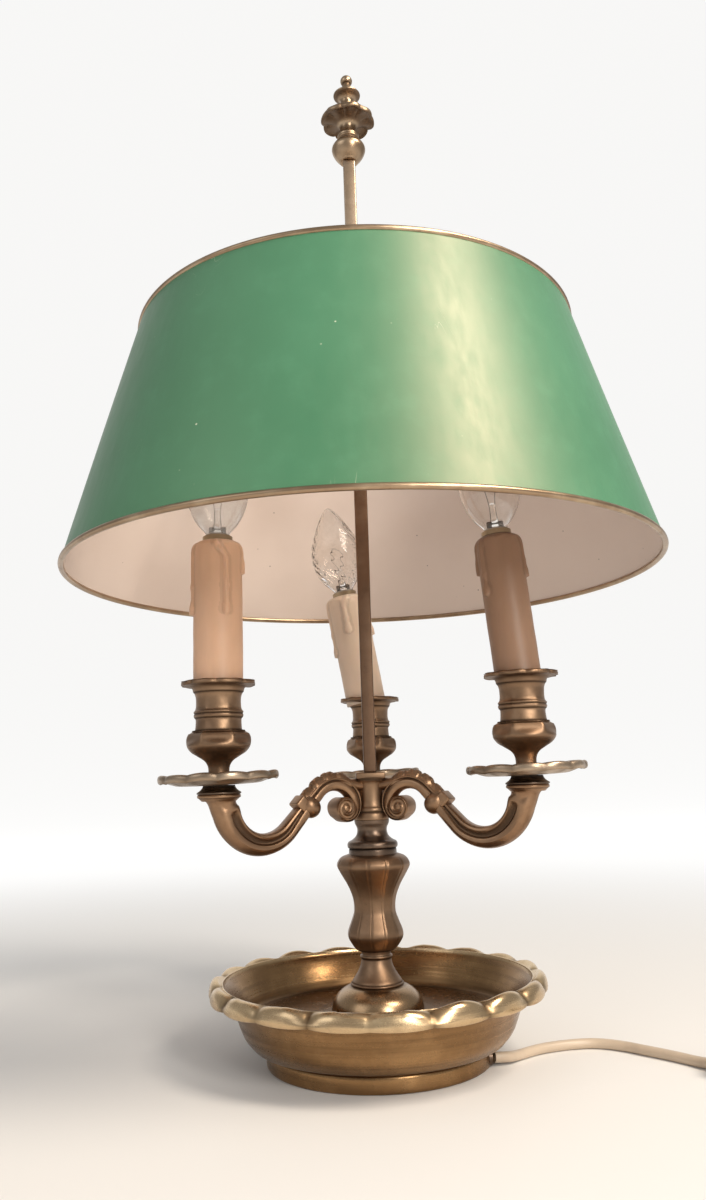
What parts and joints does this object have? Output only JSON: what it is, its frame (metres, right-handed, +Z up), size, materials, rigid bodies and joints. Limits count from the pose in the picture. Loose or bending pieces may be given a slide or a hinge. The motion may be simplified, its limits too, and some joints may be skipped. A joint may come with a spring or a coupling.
{
  "type": "three-candle table lamp with a dish base and a height-adjustable metal shade",
  "caption": "Table lamp with a scalloped dish foot, turned and fluted stem, curved candle arms with drip pans, square rod and a metal drum shade that slides on it.",
  "frame": {"origin": "on the table, on the upright axis of the stem, measured without the mains lead and what is on it", "axes": "+Z up along the stem, -Y towards the viewer between the two front candles, +X to the right"},
  "size_m": [0.4957, 0.3576, 0.6244],
  "materials": {
    "polished_brass": "cast brass, polished, with a warm worn patina",
    "aged_brass": "cast brass, aged, darker in the hollows",
    "dark_bronze": "browned brass",
    "gilt_bead": "rolled brass edge, satin",
    "plated_steel": "zinc plated",
    "holder_resin": "moulded resin",
    "holder_brass": "pressed brass",
    "candle_card": "ivory candle sleeve with satin drips",
    "green_enamel": "satin green enamel outside, off-white inside",
    "base_board": "dark board",
    "cream_plastic": "moulded, half gloss",
    "dark_plastic": "moulded, half gloss",
    "wire_sheath": "flexible sheath, satin",
    "clear_glass": "clear blown glass",
    "bulb_cap_metal": "nickel plated thread",
    "filament_wire": "glass stem and wires",
    "plug_pin_metal": "nickel plated"
  },
  "bodies": {
    "lamp": {"base_dish": "polished_brass", "base_boss": "polished_brass", "stem_ring": "aged_brass", "baluster": "aged_brass", "stem_collar": "dark_bronze", "arm_hub": "aged_brass", "arm_left": "aged_brass", "arm_right": "aged_brass", "arm_back": "aged_brass", "drip_pan_left": "polished_brass", "drip_pan_right": "polished_brass", "drip_pan_back": "polished_brass", "candle_cup_left": "aged_brass", "candle_cup_right": "aged_brass", "candle_cup_back": "aged_brass", "pan_washers": "dark_bronze", "candle_nipples": "plated_steel", "nipple_nuts": "plated_steel", "lampholder_left": "holder_resin", "lampholder_right": "holder_resin", "lampholder_back": "holder_resin", "holder_shells": "holder_brass", "holder_contacts": "holder_brass", "candle_sleeve_left": "candle_card", "candle_sleeve_right": "candle_card", "candle_sleeve_back": "candle_card", "square_rod": "dark_bronze", "tie_rod": "plated_steel", "tie_nut": "plated_steel", "base_cover": "base_board", "terminal_block": "cream_plastic", "terminal_screws": "plated_steel", "cord_bush": "dark_bronze", "lamp_wires": "wire_sheath", "mains_cord": "wire_sheath", "cord_coil": "wire_sheath", "switch_base": "cream_plastic", "switch_lid": "cream_plastic", "switch_screws": "plated_steel", "plug_body": "cream_plastic", "plug_pins": "plug_pin_metal"},
    "shade": {"shade_skin": "green_enamel", "shade_top_bead": "gilt_bead", "shade_bottom_bead": "gilt_bead", "shade_spider": "dark_bronze", "shade_collar": "aged_brass"},
    "clamp_wing": {"clamp_screw": "aged_brass"},
    "rocker": {"switch_rocker": "dark_plastic"},
    "finial": {"finial_ball": "aged_brass", "finial_crown": "aged_brass"},
    "bulb_left": {"bulb_glass_left": "clear_glass", "bulb_cap_left": "bulb_cap_metal", "bulb_filament_left": "filament_wire"},
    "bulb_right": {"bulb_glass_right": "clear_glass", "bulb_cap_right": "bulb_cap_metal", "bulb_filament_right": "filament_wire"},
    "bulb_back": {"bulb_glass_back": "clear_glass", "bulb_cap_back": "bulb_cap_metal", "bulb_filament_back": "filament_wire"}
  },
  "joints": [
    {"name": "shade_height", "type": "slide", "parent": "lamp", "child": "shade", "axis": [0, 0, 1], "range_m": [-0.05, 0.12]},
    {"name": "clamp_turn", "type": "hinge", "parent": "shade", "child": "clamp_wing", "pos_m": [0.0125, 0, 0.4065], "axis": [1, 0, 0], "range_deg": [0, 720]},
    {"name": "switch_rock", "type": "hinge", "parent": "lamp", "child": "rocker", "pos_m": [0.193, -0.074, 0.0117], "axis": [0.788, 0.6157, 0], "range_deg": [-16, 0]},
    {"name": "finial_turn", "type": "hinge", "parent": "lamp", "child": "finial", "pos_m": [0, 0, 0.576], "axis": [0, 0, 1], "range_deg": [0, 720]},
    {"name": "bulb_left_turn", "type": "hinge", "parent": "lamp", "child": "bulb_left", "pos_m": [-0.08314, -0.048, 0.192], "axis": [0, 0, 1], "range_deg": [0, 720]},
    {"name": "bulb_right_turn", "type": "hinge", "parent": "lamp", "child": "bulb_right", "pos_m": [0.08314, -0.048, 0.192], "axis": [-0.0858, 0.0151, 0.9962], "range_deg": [0, 720]},
    {"name": "bulb_back_turn", "type": "hinge", "parent": "lamp", "child": "bulb_back", "pos_m": [0.00502, 0.09587, 0.192], "axis": [-0.165, 0, 0.9863], "range_deg": [0, 720]}
  ]
}
